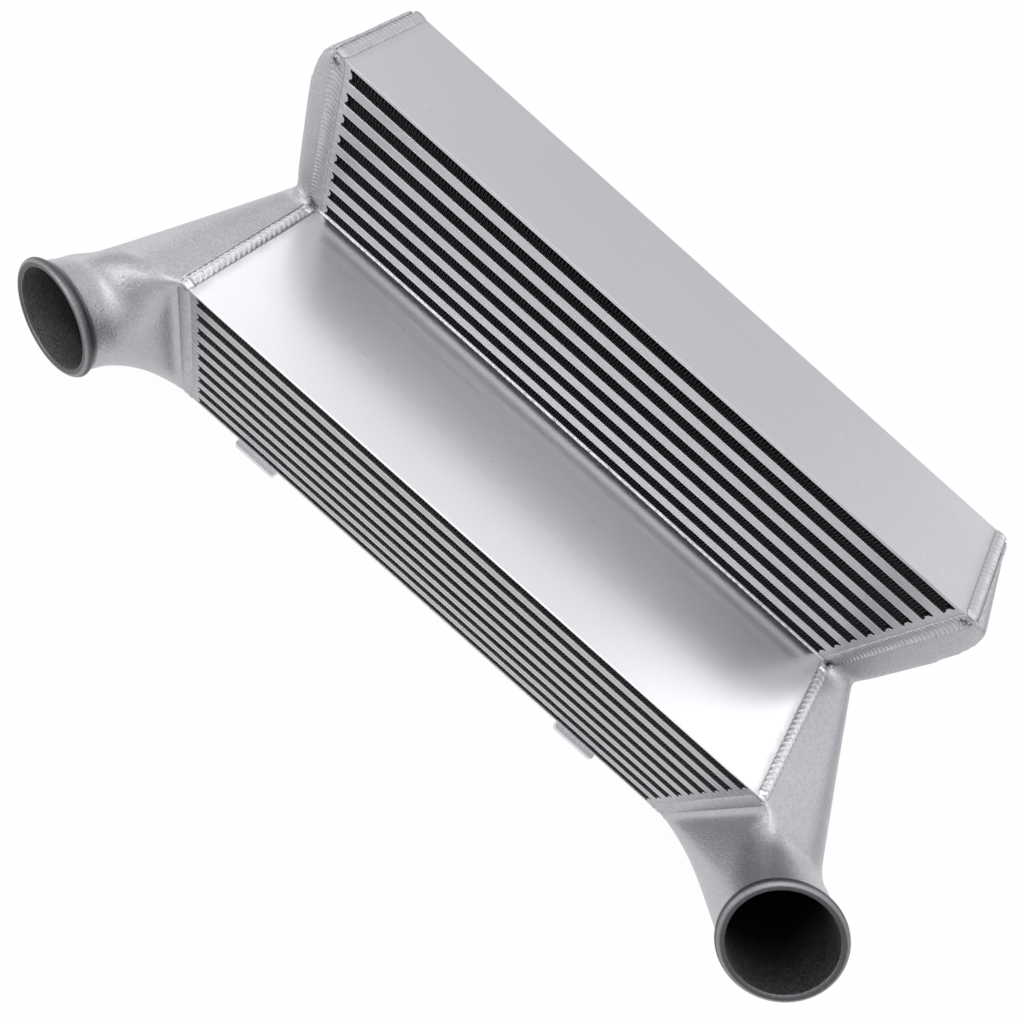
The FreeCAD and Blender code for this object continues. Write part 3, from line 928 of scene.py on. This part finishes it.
class RippledBead(PathTool):
    """Bead of overlapping scales along a path of points.

    The path's mesh holds three attributes to a point: side and lift, the ways
    that the bead is wide and high, and swell, a factor on its height.
    """

    title = "Rippled bead"
    inputs = (TreeInput("Half Width"), TreeInput("Rise"), TreeInput("Root"),
              TreeInput("Pitch"), TreeInput("Ripple"), TreeInput("Curl"),
              TreeInput("Wander"), TreeInput("Taper"), TreeInput("Step"),
              TreeInput("Columns", "NodeSocketInt"), TreeInput("Seed"))

    def shape(self) -> Value:
        """Sweep a ring along the path and move its points into scales."""
        g, s = self.graph, self.source
        line = g.get("GeometryNodeMeshToCurve", s["Geometry"])
        line = g.get("GeometryNodeResampleCurve", mode="LENGTH", named={
            "Curve": line, "Length": s["Step"]})
        run = g.get("GeometryNodeSplineParameter", out="Length")
        total = g.get("GeometryNodeSplineLength", out="Length")
        line = self.keep(line, "along", run)
        line = self.keep(line, "left", total - run)
        line = self.keep(line, "centre", g.get("GeometryNodeInputPosition"),
                         "FLOAT_VECTOR")
        ring = g.get("GeometryNodeCurvePrimitiveCircle", named={
            "Resolution": s["Columns"], "Radius": s["Half Width"]})
        ring = self.keep(ring, "turn", g.get("GeometryNodeSplineParameter", out="Factor"))
        tube = g.get("GeometryNodeCurveToMesh", named={
            "Curve": line, "Profile Curve": ring, "Fill Caps": True})
        angle = self.read("turn") * (2 * math.pi)
        across, high = g.math("COSINE", angle), g.math("SINE", angle)
        centre = self.read("centre", "FLOAT_VECTOR")
        drift = g.noise(g.vector("ADD", centre, g.join(s["Seed"])), 130.0, 2.0) - 0.5
        phase = self.read("along") / s["Pitch"] - across * across * s["Curl"]
        saw = g.math("FRACT", phase + drift * s["Wander"])
        crest = g.math("POWER", saw, 0.7) * g.ramp(saw, 0.80, 1.0, 1.0, 0.0, smooth=True)
        gap = abs(g.math("FRACT", saw + 0.5) - 0.45)
        # Seam marks the lines between scales that are painted dark, partly oxide and partly
        # shade of each scale's step.
        seam = g.ramp(gap, 0.03, 0.13, 1.0, 0.0, smooth=True) * g.ramp(high, 0.05, 0.5)
        tube = self.keep(tube, "seam", seam)
        ends = g.math("MINIMUM", self.read("along"), self.read("left"))
        fade = g.ramp(ends / s["Taper"], 0.0, 1.0, 0.35, 1.0, smooth=True)
        dome = s["Rise"] * high * (fade * self.read("swell"))
        scale = crest * s["Ripple"] * g.math("POWER", g.largest(high, 0.0), 0.5)
        under = g.math("MINIMUM", high, 0.0) * s["Root"]
        lift = g.largest(dome, 0.0) + scale + under
        wide = (g.math("MULTIPLY_ADD", crest, 0.06, 0.97)
                * g.math("MULTIPLY_ADD", drift, 0.22, 1.0))
        wide = wide * s["Half Width"] * (across * g.ramp(fade, 0.35, 1.0, 0.7, 1.0))
        place = g.vector("ADD", centre, g.scaled(self.read("side", "FLOAT_VECTOR"), wide))
        place = g.vector("ADD", place, g.scaled(self.read("lift", "FLOAT_VECTOR"), lift))
        return g.get("GeometryNodeSetPosition", named={
            "Geometry": tube, "Position": place})


@dataclass
class BeadPath:
    """Points of a bead's centre line, with the ways it is wide and high."""

    points: list[Vector] = field(default_factory=list)
    sides: list[Vector] = field(default_factory=list)
    lifts: list[Vector] = field(default_factory=list)
    swells: list[float] = field(default_factory=list)

    def add(self, point: Vector, side: Vector, lift: Vector, swell: float = 1.0) -> None:
        """Add one point, in millimetres."""
        self.points.append(point)
        self.sides.append(side)
        self.lifts.append(lift)
        self.swells.append(swell)

    def mesh(self, name: str) -> bpy.types.Mesh:
        """Line of edges that carries the attributes.

        Args:
            name: Name of the mesh.

        Returns:
            The mesh.
        """
        mesh = bpy.data.meshes.new(name)
        count = len(self.points)
        mesh.from_pydata([p * MM for p in self.points],
                         [(i, i + 1) for i in range(count - 1)], [])
        for key, values in (("side", self.sides), ("lift", self.lifts)):
            data = mesh.attributes.new(key, "FLOAT_VECTOR", "POINT").data
            data.foreach_set("vector", [c for v in values for c in v])
        mesh.attributes.new("swell", "FLOAT", "POINT").data.foreach_set("value",
                                                                        self.swells)
        return mesh


@dataclass(frozen=True)
class BeadSize:
    """Sizes of one bead."""

    half_width: float
    rise: float
    root: float
    pitch: float
    ripple: float
    curl: float
    wander: float = 0.5
    taper: float = 4.0
    step: float = 0.45
    columns: int = 24

    def values(self) -> dict[str, Any]:
        """The tree's inputs, in metres."""
        plain = ("curl", "wander", "columns")
        return {name.title(): value if name in plain else value * MM
                for name, value in asdict(self).items()}


@dataclass(frozen=True)
class BeadRun:
    """One run of weld: the piece it belongs to, its size and its path."""

    piece: str
    size: BeadSize
    path: BeadPath


@dataclass
class TankWelds:
    """Beads round each joint, in runs as a welder lays them."""

    outline: CoreOutline
    plain: BeadSize = BeadSize(4.6, 1.2, 1.6, 3.7, 0.36, 0.25, wander=0.25)
    step_run: BeadSize = BeadSize(4.5, 1.4, 1.6, 4.9, 0.45, 0.65, wander=0.12, step=0.3)
    crease_blob: BeadSize = BeadSize(4.9, 2.0, 1.6, 9.0, 0.06, 0.8, taper=6.0)
    front_swirl: BeadSize = BeadSize(5.0, 1.9, 1.6, 3.4, 0.34, 1.3, taper=5.0, step=0.3)
    face_run: BeadSize = BeadSize(5.6, 0.7, 1.6, 3.5, 0.55, 0.85, wander=0.4, step=0.35)
    toe_run: BeadSize = BeadSize(4.8, 0.40, 2.5, 1.7, 0.16, 0.5, wander=0.3, step=0.23)
    toe_ridge: BeadSize = BeadSize(0.8, 0.25, 1.2, 9.0, 0.03, 0.2, columns=12, step=1.0)
    rim: BeadSize = BeadSize(1.1, 0.9, 1.6, 11.0, 0.08, 0.2, columns=12, step=0.8)
    rim_out: float = 5.6
    corner: float = 2.5
    start_swell: float = 1.3
    turn_swell: float = 1.25
    end_swell: float = 1.4
    toe_edge: tuple[float, float] = (4.2, 2.1)
    ridge_edge: tuple[float, float] = (7.6, 3.9)
    wall: float = 4.0
    finishes: dict[str, WeldFinish] = field(default_factory=lambda: {
        "joint_bead": Finishes.top_bead, "step_bead": Finishes.bead,
        "upper_face_bead": Finishes.face_bead, "lower_face_bead": Finishes.face_bead})

    def build(self) -> None:
        """Build the beads of both joints, one piece to a kind of run."""
        tool = RippledBead()
        for side in Side:
            parts: dict[str, list[bpy.types.Object]] = {}
            for number, run in enumerate(self.runs(side)):
                made = tool.run(f"{side.word} bead run {number}", run.path.mesh("bead path"),
                                self.finishes[run.piece],
                                Seed=0.31 * number + 0.7 * side.value, **run.size.values())
                parts.setdefault(run.piece, []).append(made)
            for name, made in parts.items():
                settle(self.join(f"{side.word}_{name}", made), self.finishes[name],
                       f"{side.word}_tank_weld")

    def join(self, name: str, parts: Sequence[bpy.types.Object]) -> bpy.types.Object:
        """One object from several, which are removed."""
        mesh = bpy.data.meshes.new(name)
        with editing(mesh, *(part.data for part in parts)):
            for part in parts:
                bpy.data.objects.remove(part)
        mesh.shade_smooth()
        return add_object(name, mesh)

    def runs(self, side: Side) -> Iterable[BeadRun]:
        """Runs of one joint: hidden sides and top, step, upper and lower face."""
        o = self.outline
        crest, crease = (o.step_front, o.top), (o.step_front, o.step_top)
        edge, toe = (o.front, o.step_top), (o.front, 0.0)
        rows = [("joint_bead", self.plain, 0.0, (toe, (o.rear, 0.0), (o.rear, o.top), crest)),
                ("joint_bead", self.rim, self.rim_out,
                 ((o.rear - 4.0, o.top), (o.step_front + 2.0, o.top))),
                ("upper_face_bead", self.face_run, 0.0, (crest, crease)),
                ("step_bead", self.step_run, 0.0, (crease, edge)),
                ("step_bead", self.crease_blob, 0.0,
                 ((o.step_front + 1.0, o.step_top), (o.step_front - 13.0, o.step_top))),
                ("step_bead", self.front_swirl, 0.0,
                 ((o.front + 9.0, o.step_top), (o.front - 0.5, o.step_top)))]
        if side is Side.LEFT:
            rows.insert(2, ("joint_bead", self.rim, self.rim_out,
                            ((o.step_front - 4.0, o.step_top),
                             (o.front + 3.0, o.step_top))))
        for piece, size, out, corners in rows:
            yield BeadRun(piece, size, self.line(side, corners, out))
        joint = (-self.plain.half_width, 0.0)
        yield BeadRun("lower_face_bead", self.toe_run, self.toe(side, joint, self.toe_edge))
        yield BeadRun("lower_face_bead", self.toe_ridge,
                      self.toe(side, self.toe_edge, self.ridge_edge, centred=False))

    def line(self, side: Side, corners: Sequence[tuple[float, float]],
             out: float) -> BeadPath:
        """Path at the joint through corners given as depth and height.

        Args:
            side: End of the core.
            corners: Corners of the run.
            out: Distance from the joint, away from the core.

        Returns:
            The path, with its turns rounded.
        """
        path = BeadPath()
        across = Vector((1.0, 0.0, 0.0))
        flat = [Vector((side.value * (self.outline.half + out), y, z))
                for y, z in corners]
        ways = [(b - a).normalized() for a, b in zip(flat, flat[1:])]
        lifts = [Vector((0.0, way.z, -way.y)) for way in ways]
        path.add(flat[0], across, lifts[0], self.start_swell)
        for index in range(1, len(flat) - 1):
            before, after = ways[index - 1], ways[index]
            for share in (0.0, 0.25, 0.5, 0.75, 1.0):
                lift = (lifts[index - 1] * (1 - share) + lifts[index] * share).normalized()
                bend = (1 - share) ** 2 * -before + share ** 2 * after
                path.add(flat[index] + bend * self.corner, across, lift, self.turn_swell)
        path.add(flat[-1], across, lifts[-1], self.end_swell)
        return path

    def toe(self, side: Side, near: tuple[float, float], far: tuple[float, float],
            centred: bool = True) -> BeadPath:
        """Upright path on the fillet between the lower front face and the neck.

        Args:
            side: End of the core.
            near: The fillet's inner edge, out from the joint and before the face.
            far: Its outer edge in the same terms.
            centred: Whether the path runs midway, and not along the outer edge.

        Returns:
            The path.
        """
        o = self.outline
        path = BeadPath()
        inner, outer = (Vector((o.half + out, o.front - forward, 0.0))
                        for out, forward in (near, far))
        middle, way = (inner + outer) / 2, (outer - inner).normalized()
        lift = Vector((way.y, -way.x, 0.0))
        flip = Matrix.Diagonal((side.value, 1.0, 1.0))
        start = middle if centred else outer
        low = self.wall if centred else 2 * self.wall
        for z in (low, o.step_top - self.wall / 2):
            path.add(flip @ (start + Vector((0.0, 0.0, z))), flip @ way, flip @ lift)
        return path


@dataclass
class BrazeLines:
    """Thin fillets of braze where the plates of the step meet."""

    outline: CoreOutline
    size: BeadSize = BeadSize(0.9, 0.7, 0.6, 7.0, 0.12, 0.2, wander=2.5, columns=10,
                              step=1.2, taper=2.0)
    short: float = 4.0
    before: float = 0.25
    above: float = 0.1
    seed: float = 5.3

    def build(self) -> None:
        """Build the fillet along the crease behind the step plate."""
        o = self.outline
        path = BeadPath()
        lean = Vector((0.0, -1.0, 1.0)).normalized()
        way = Vector((0.0, 1.0, 1.0)).normalized()
        for x in (-o.half + self.short, o.half - self.short):
            path.add(Vector((x, o.step_front - self.before, o.step_top + self.above)), way,
                     lean)
        piece = RippledBead().run("step_braze_fillet", path.mesh("braze path"),
                                  Finishes.braze, Seed=self.seed, **self.size.values())
        settle(piece, Finishes.braze)


# Cast tanks

@dataclass(frozen=True)
class BlendZone:
    """Line beside which a casting's surface is drawn smooth.

    Each point is three coordinates and the reach of the smoothing there. Hold is
    the share of it that moves the skin inwards, so that 0 only fills hollows.
    """

    points: tuple[tuple[float, float, float, float], ...]
    rounds: int
    hold: float = 1.0

    def weights(self, places: np.ndarray, flip: float) -> np.ndarray:
        """Share of smoothing at each place, in millimetres.

        Args:
            places: Points, one to a row.
            flip: 1 for the right tank, -1 for the left.

        Returns:
            One share to a point.
        """
        line = np.array([point[:3] for point in self.points]) * (flip, 1.0, 1.0)
        reaches = [point[3] for point in self.points]
        best = np.full(len(places), 0.0)
        for a, b, reach_a, reach_b in zip(line, line[1:], reaches, reaches[1:]):
            run = b - a
            share = np.clip(((places - a) @ run) / (run @ run), 0.0, 1.0)
            gap = np.linalg.norm(places - a - share[:, None] * run, axis=1)
            reach = reach_a + (reach_b - reach_a) * share
            best = np.maximum(best, np.clip(1.0 - gap / reach, 0.0, 1.0))
        return best * best * (3.0 - 2.0 * best)


@dataclass(frozen=True)
class OutletLip:
    """Rolled lip, groove and turned bore of one outlet, true to their profile."""

    mouth: Vector
    way: Vector
    segments: int = 180
    profile: tuple[tuple[float, float], ...] = (
        (34.90, -1.20), (35.10, -0.60), (35.60, -0.18), (36.40, 0.08), (37.40, 0.14),
        (38.40, 0.00), (39.40, -0.45), (40.30, -1.20), (40.90, -2.20), (41.15, -3.20),
        (40.95, -4.20), (40.40, -5.10), (39.60, -5.80), (38.80, -6.30), (38.30, -6.90),
        (38.15, -7.60), (38.20, -8.50), (37.20, -9.40), (36.20, -12.0), (36.30, -21.0),
        (35.70, -22.6), (35.15, -20.0), (34.90, -17.0), (34.90, -8.0), (34.90, -2.40))

    def add_to(self, mesh: bpy.types.Mesh) -> None:
        """Add the ring to a tank's mesh.

        Args:
            mesh: Mesh of the tank, in metres.
        """
        side = self.way.orthogonal().normalized()
        other = self.way.cross(side)
        with editing(mesh) as work:
            rings = []
            for step in range(self.segments):
                turn = 2 * math.pi * step / self.segments
                out = side * math.cos(turn) + other * math.sin(turn)
                rings.append([
                    work.verts.new((self.mouth + out * radius + self.way * depth) * MM)
                    for radius, depth in self.profile])
            for ring, after in zip(rings, rings[1:] + rings[:1]):
                for index, point in enumerate(ring):
                    work.faces.new((ring[index - 1], point, after[index],
                                    after[index - 1]))


@dataclass
class CastTank:
    """One end tank as cast: soft edges, blended corners and a rough skin."""

    side: Side
    finish: CastFinish
    zones: tuple[BlendZone, ...]
    lip: OutletLip
    grid: float = 1.6
    ease_rounds: int = 6
    pull: float = 0.6
    bore: float = 35.3
    far_wall: float = 62.0
    deepest: float = 150.0

    def build(self) -> None:
        """Replace the tank's node with its cast form."""
        node = f"{self.side.word}_end_tank"
        piece = add_object(f"{self.side.word}_cast_tank", merged_copy(node))
        remesh = piece.modifiers.new("Even grid", "REMESH")
        remesh.mode = "VOXEL"
        remesh.voxel_size = self.grid * MM
        mesh = evaluated_mesh(piece)
        self.soften(mesh)
        self.lip.add_to(mesh)
        self.mark_inside(mesh)
        mesh.shade_smooth()
        settle(piece, self.finish, node)

    def soften(self, mesh: bpy.types.Mesh) -> None:
        """Smooth the whole skin a little and the blend zones a lot."""
        count = len(mesh.vertices)
        places = np.empty(count * 3)
        mesh.vertices.foreach_get("co", places)
        places = places.reshape(count, 3) / MM
        ends = np.empty(len(mesh.edges) * 2, dtype=np.int64)
        mesh.edges.foreach_get("vertices", ends)
        one, other = ends[0::2], ends[1::2]
        near = np.concatenate((one, other))
        far = np.concatenate((other, one))
        degree = np.maximum(np.bincount(near, minlength=count), 1)
        outward = np.empty(count * 3)
        mesh.vertices.foreach_get("normal", outward)
        outward = outward.reshape(count, 3)

        def relax(share: np.ndarray, rounds: int, hold: float) -> None:
            """Move points towards their neighbours' mean."""
            for _ in range(rounds):
                mean = np.stack([np.bincount(near, places[far, axis], count)
                                 for axis in range(3)], axis=1) / degree[:, None]
                move = mean - places
                rising = (move * outward).sum(axis=1) > 0
                eased = np.where(rising, share, share * hold)
                places[:] += move * eased[:, None] * self.pull

        relax(np.ones(count), self.ease_rounds, 1.0)
        for zone in self.zones:
            relax(zone.weights(places, self.side.value), zone.rounds, zone.hold)
        relax(np.ones(count), self.ease_rounds, 1.0)
        mesh.vertices.foreach_set("co", (places * MM).ravel())
        mesh.update()

    def mark_inside(self, mesh: bpy.types.Mesh) -> None:
        """Store which points of the skin are seen from the outlet's axis."""
        tree = BVHTree.FromPolygons([v.co for v in mesh.vertices],
                                    [f.vertices for f in mesh.polygons])
        mouth, way = self.lip.mouth * MM, self.lip.way
        marks = np.zeros(len(mesh.vertices))
        for point in mesh.vertices:
            depth = (point.co - mouth).dot(way)
            if not -self.deepest * MM < depth < -MM:
                continue
            inward = mouth + way * depth - point.co
            radius = inward.length
            if radius < self.bore * MM and depth > -BORE_RUN * MM:
                marks[point.index] = 1.0
            elif radius < self.far_wall * MM and point.normal.dot(inward) > 0:
                start = point.co + point.normal * MM
                hit = tree.ray_cast(start, inward.normalized(), radius - MM)
                marks[point.index] = float(hit[0] is None)
        mesh.attributes.new("inside", "FLOAT", "POINT").data.foreach_set("value", marks)


@dataclass(frozen=True)
class TankForm:
    """What differs between the two castings, and the lighter painted shade in the left bore.
    """

    swell: float
    # Bore tones that give one tank lighter painted shade than the other.
    tones: dict[str, Colour] = field(default_factory=dict)
    neck: tuple[BlendZone, ...] = ()


@dataclass
class EndTanks:
    """Both castings and the pockets beside the upper core."""

    outline: CoreOutline
    colour: Colour = (0.455, 0.445, 0.475)
    roughness: float = 0.33
    bump_depth: float = 0.00045
    rear_swell: float = 15.0
    ramp_start: tuple[float, float] = (62.0, 139.0)
    ramp_end: float = 129.0
    fill_rounds: int = 130
    fill_hold: float = 0.12
    forms: dict[Side, TankForm] = field(default_factory=lambda: {
        Side.RIGHT: TankForm(26.5),
        # The left bore's painted shade is lighter, as more light reaches into it.
        Side.LEFT: TankForm(21.5, {"bore_colour": (0.12, 0.118, 0.12),
                                   "bore_speck": (0.32, 0.31, 0.315)},
                            (BlendZone(((270.5, -116.0, 121.0, 12.0),
                                        (277.0, -132.0, 106.0, 16.0)), 50),))})

    def build(self) -> None:
        """Build the right and the left tank."""
        mounts = {mount["name"]: mount for mount in frame["record"]["mounts"]}
        for side, form in self.forms.items():
            mount = mounts[f"{side.word}_outlet"]
            way = Vector(mount["axis"])
            mouth = Vector(mount["pos_m"]) + way * (mount["dims"]["length_mm"] / 2 * MM)
            finish = CastFinish(f"Cast {side.word} tank", "cast_aluminium", self.colour,
                                self.roughness, bump=1.0, bump_depth=self.bump_depth,
                                mouth=tuple(mouth), way=tuple(way), **form.tones)
            CastTank(side, finish, (self.valley(form.swell), *form.neck),
                     OutletLip(mouth / MM, way)).build()

    def valley(self, swell: float) -> BlendZone:
        """Zone that fills the pocket's corner, from the crease to the rear."""
        o, rear = self.outline, self.rear_swell
        return BlendZone(((o.half + 4.0, o.step_front, o.step_top, 9.0),
                          (o.half + swell * 0.6, o.step_front, o.step_top, 15.0),
                          (o.half + swell, o.step_front + 1.0, o.step_top, 22.0),
                          (o.half + (swell + rear) / 2, *self.ramp_start, 24.0),
                          (o.half + rear, o.rear, self.ramp_end, 22.0)),
                         self.fill_rounds, self.fill_hold)


# Studio

@dataclass(frozen=True)
class Softbox:
    """Square area lamp, turned towards a point."""

    name: str
    place: Point
    aim: Point
    size: float
    power: float

    def hang(self) -> None:
        """Put the lamp in the scene."""
        light = bpy.data.lights.new(self.name, "AREA")
        light.shape, light.size, light.energy = "SQUARE", self.size, self.power
        away = Vector(self.place) - Vector(self.aim)
        turn = away.to_track_quat("Z", "Y").to_matrix().to_4x4()
        add_object(self.name, light).matrix_world = Matrix.Translation(self.place) @ turn


@dataclass
class Studio:
    """Floor, soft light and the photograph's camera."""

    ground: float
    floor_size: float = 400.0
    floor_colour: Colour = (0.90, 0.90, 0.90)
    floor_glow: float = 0.96
    sky: float = 0.88
    sky_colour: Colour = (0.99, 0.985, 1.0)
    horizon: float = 0.42
    horizon_colour: Colour = (0.94, 0.95, 1.0)
    horizon_band: tuple[float, float] = (0.08, 0.45)
    sensor: float = 36.0
    focal_length: float = 26.38
    camera_place: Point = (0.00273, -0.33428, 0.5929)
    camera_right: Point = (0.7469, 0.5679, 0.3458)
    camera_back: Point = (-0.005, -0.5152, 0.857)
    lamps: tuple[Softbox, ...] = (
        Softbox("overhead box", (0.0, -0.55, 2.1), (0.0, 0.0, 0.1), 1.5, 9.0),
        Softbox("right rear box", (1.25, 0.80, 1.9), (0.1, 0.0, 0.1), 0.9, 1.6),
        Softbox("left rear box", (-1.35, 0.80, 1.7), (-0.1, 0.0, 0.1), 0.9, 0.9),
        Softbox("left crown box", (-0.87, -0.50, 2.1), (0.0, -0.1, 0.1), 0.6, 2.0),
        Softbox("left front box", (-1.7, -1.9, 0.7), (-0.3, -0.1, 0.1), 0.7, 8.0),
        Softbox("left side box", (-2.1, 0.55, 0.45), (0.2, -0.1, 0.1), 0.6, 2.2),
        Softbox("right back box", (1.25, 1.85, 0.62), (0.2, -0.1, 0.1), 0.6, 2.6))

    def build(self) -> None:
        """Set up everything round the object."""
        self.floor()
        self.world()
        for lamp in self.lamps:
            lamp.hang()
        self.camera()
        bpy.context.scene.view_settings.view_transform = "Standard"

    def floor(self) -> None:
        """Plain floor with a faint shadow, white where rays show it."""
        half = self.floor_size / 2
        mesh = bpy.data.meshes.new("floor")
        mesh.from_pydata([(x, y, self.ground) for x, y in
                          ((-half, -half), (half, -half), (half, half), (-half, half))],
                         [], [(0, 1, 2, 3)])
        material = bpy.data.materials.new("Studio floor")
        material.use_nodes = True
        graph = Graph(material.node_tree)
        rays = graph.add("ShaderNodeLightPath").outputs
        shown = graph.largest(*(rays[f"Is {kind} Ray"]
                                for kind in ("Camera", "Glossy", "Transmission")))
        paint = graph.get("ShaderNodeBsdfDiffuse", (*self.floor_colour, 1.0))
        glow = graph.get("ShaderNodeEmission", (1.0, 1.0, 1.0, 1.0), 1.0)
        graph.add("ShaderNodeOutputMaterial",
                  graph.get("ShaderNodeMixShader", shown * self.floor_glow, paint, glow))
        mesh.materials.append(material)
        add_object("studio_floor", mesh)

    def world(self) -> None:
        """White dome of soft light above a greyer horizon."""
        world = bpy.data.worlds.new("Soft studio")
        bpy.context.scene.world = world
        world.use_nodes = True
        graph = Graph(world.node_tree)
        way = graph.get("ShaderNodeTexCoord", out="Generated")
        share = graph.ramp(graph.split(way)[2], *self.horizon_band, smooth=True)
        strength = graph.ramp(share, 0.0, 1.0, self.horizon, self.sky)
        colour = graph.tint(share, self.horizon_colour, self.sky_colour)
        graph.add("ShaderNodeOutputWorld",
                  graph.get("ShaderNodeBackground", colour, strength))

    def camera(self) -> None:
        """Camera where the photograph was taken from."""
        lens = bpy.data.cameras.new("photo camera")
        lens.sensor_width, lens.lens = self.sensor, self.focal_length
        lens.clip_end = 100.0
        camera = add_object("photo camera", lens)
        back = Vector(self.camera_back).normalized()
        up = back.cross(Vector(self.camera_right)).normalized()
        turn = Matrix((up.cross(back), up, back)).transposed().to_4x4()
        camera.matrix_world = Matrix.Translation(self.camera_place) @ turn
        bpy.context.scene.camera = camera


def main() -> None:
    """Build every sub-assembly, then the studio."""
    logging.basicConfig(level=logging.INFO, format="%(name)s %(message)s")
    outline = CoreOutline.from_frame()
    EasedPieces().build()
    FinRows(outline).build()
    EndTanks(outline).build()
    TankWelds(outline).build()
    BrazeLines(outline).build()
    for stack in Stack:
        # The turbulators take the fin finish, painted near black as shade.
        dress_node(f"{stack.value}_turbulators", Finishes.fin(stack, outline))
    Studio(ground=CAD_BOX[0].z).build()


if __name__ == "__main__":
    main()
